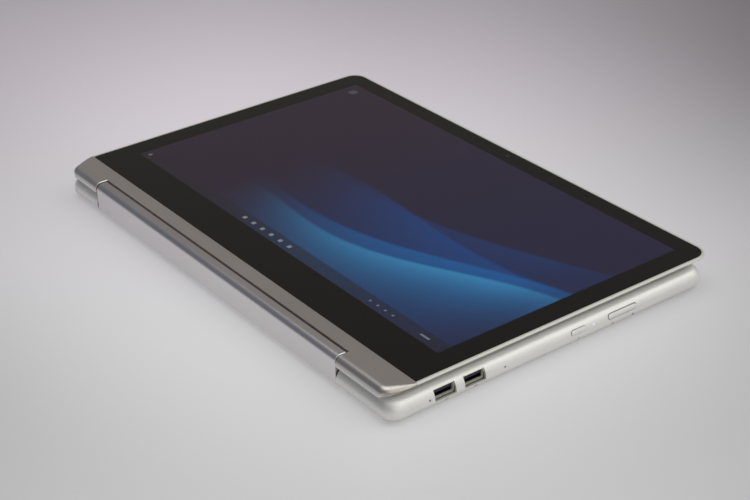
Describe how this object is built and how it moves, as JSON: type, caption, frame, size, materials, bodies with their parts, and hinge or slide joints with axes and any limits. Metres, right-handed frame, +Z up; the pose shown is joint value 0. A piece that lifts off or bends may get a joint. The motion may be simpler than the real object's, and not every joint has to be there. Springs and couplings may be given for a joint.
{
  "type": "convertible laptop computer",
  "caption": "Slim silver convertible laptop folded back as a tablet: glass screen up, keyboard deck on the table, long two-axis hinge spine, side sockets and buttons.",
  "frame": {"origin": "middle of the footprint, on the table under the keyboard deck", "axes": "+X along the hinge towards the side with the two USB-A sockets, +Y from the hinge to the front edge, +Z up out of the glass"},
  "size_m": [0.325, 0.22, 0.0201],
  "materials": {
    "casing": "bead-blasted satin with bright cut edges",
    "strip": "fine brushed satin",
    "spine": "satin",
    "glass": "clear polished",
    "border": "black print under glass",
    "screen": "lit display, dark blue",
    "camera": "black",
    "keys": "fine matt black",
    "touchpad": "smooth satin silver",
    "steel": "plain stamped or turned",
    "board": "green board lacquer",
    "plastic": "black moulded",
    "copper": "bare copper",
    "tongue": "blue moulded",
    "light": "lit, pale violet",
    "rubber": "matt black"
  },
  "bodies": {
    "spine": {"spine_cover": "spine", "spine_front_plate": "spine", "hinge_blocks": "steel", "idler_pins": "steel", "display_cable_spine": "plastic"},
    "base": {"bottom_cover": "casing", "keyboard_deck": "casing", "base_hinge_brackets": "steel", "base_hinge_shafts": "steel", "screw_posts": "steel", "case_screws": "steel", "base_small_screws": "steel", "usb_socket_rear": "steel", "usb_socket_front": "steel", "hdmi_socket": "steel", "usb_c_socket": "steel", "keyboard_plate": "steel", "touchpad_bracket": "steel", "main_board": "board", "port_board": "board", "button_board": "board", "solid_state_drive": "board", "wireless_card": "board", "fan_housing": "plastic", "battery_pack": "plastic", "speakers": "plastic", "audio_jack": "plastic", "power_jack": "plastic", "keyboard_membrane": "plastic", "display_cable_base": "plastic", "heat_pipe": "copper", "cooling_fins": "copper", "usb_tongues": "tongue", "status_light": "light", "rubber_feet": "rubber"},
    "lid": {"lid_back_cover": "casing", "hinge_strip": "strip", "display_glass": "glass", "glass_border": "border", "lcd_panel": "screen", "webcam_module": "camera", "panel_board": "board", "lid_hinge_brackets": "steel", "lid_hinge_shafts": "steel", "lid_screws": "steel", "display_cable_lid": "plastic"},
    "lower_idlers": {"idler_gears_lower": "steel"},
    "upper_idlers": {"idler_gears_upper": "steel"},
    "power_button": {"power_button": "casing"},
    "volume_rocker": {"volume_rocker": "casing"},
    "touchpad": {"touchpad": "touchpad"},
    "fan_impeller": {"fan_impeller": "plastic"},
    "key_row_1": {"key_row_1": "keys"},
    "key_row_2": {"key_row_2": "keys"},
    "key_row_3": {"key_row_3": "keys"},
    "key_row_4": {"key_row_4": "keys"},
    "key_row_5": {"key_row_5": "keys"},
    "key_row_6": {"key_row_6": "keys"}
  },
  "joints": [
    {"name": "base_turn", "type": "hinge", "parent": "spine", "child": "base", "pos_m": [0, -0.1059, 0.00675], "axis": [1, 0, 0], "range_deg": [-180, 0]},
    {"name": "lid_turn", "type": "hinge", "parent": "spine", "child": "lid", "pos_m": [0, -0.1059, 0.0171], "axis": [1, 0, 0], "range_deg": [0, 180]},
    {"name": "lower_idlers_turn", "type": "hinge", "parent": "spine", "child": "lower_idlers", "pos_m": [0, -0.1059, 0.0102], "axis": [1, 0, 0], "range_deg": [0, 180]},
    {"name": "upper_idlers_turn", "type": "hinge", "parent": "spine", "child": "upper_idlers", "pos_m": [0, -0.1059, 0.01365], "axis": [1, 0, 0], "range_deg": [-180, 0]},
    {"name": "power_press", "type": "slide", "parent": "base", "child": "power_button", "axis": [-1, 0, 0], "range_m": [0, 0.0004], "stiffness_N_per_m": 2500},
    {"name": "volume_rock", "type": "hinge", "parent": "base", "child": "volume_rocker", "pos_m": [0.1571, 0.0441, 0.0081], "axis": [0, 0, 1], "range_deg": [-1.2, 1.2], "stiffness_Nm_per_rad": 0.5},
    {"name": "touchpad_click", "type": "hinge", "parent": "base", "child": "touchpad", "pos_m": [0, 0.0294, 0.00215], "axis": [1, 0, 0], "range_deg": [0, 0.35], "stiffness_Nm_per_rad": 20},
    {"name": "fan_spin", "type": "hinge", "parent": "base", "child": "fan_impeller", "pos_m": [-0.095, -0.062, 0.008], "axis": [0, 0, 1], "continuous": true},
    {"name": "key_row_1_press", "type": "slide", "parent": "base", "child": "key_row_1", "axis": [0, 0, 1], "range_m": [0, 0.0012], "stiffness_N_per_m": 3000},
    {"name": "key_row_2_press", "type": "slide", "parent": "base", "child": "key_row_2", "axis": [0, 0, 1], "range_m": [0, 0.0012], "stiffness_N_per_m": 3000},
    {"name": "key_row_3_press", "type": "slide", "parent": "base", "child": "key_row_3", "axis": [0, 0, 1], "range_m": [0, 0.0012], "stiffness_N_per_m": 3000},
    {"name": "key_row_4_press", "type": "slide", "parent": "base", "child": "key_row_4", "axis": [0, 0, 1], "range_m": [0, 0.0012], "stiffness_N_per_m": 3000},
    {"name": "key_row_5_press", "type": "slide", "parent": "base", "child": "key_row_5", "axis": [0, 0, 1], "range_m": [0, 0.0012], "stiffness_N_per_m": 3000},
    {"name": "key_row_6_press", "type": "slide", "parent": "base", "child": "key_row_6", "axis": [0, 0, 1], "range_m": [0, 0.0012], "stiffness_N_per_m": 3000}
  ],
  "couplings": [
    {"joint": "lid_turn", "follows": "base_turn", "ratio": -1},
    {"joint": "lower_idlers_turn", "follows": "base_turn", "ratio": -1},
    {"joint": "upper_idlers_turn", "follows": "base_turn", "ratio": 1}
  ]
}
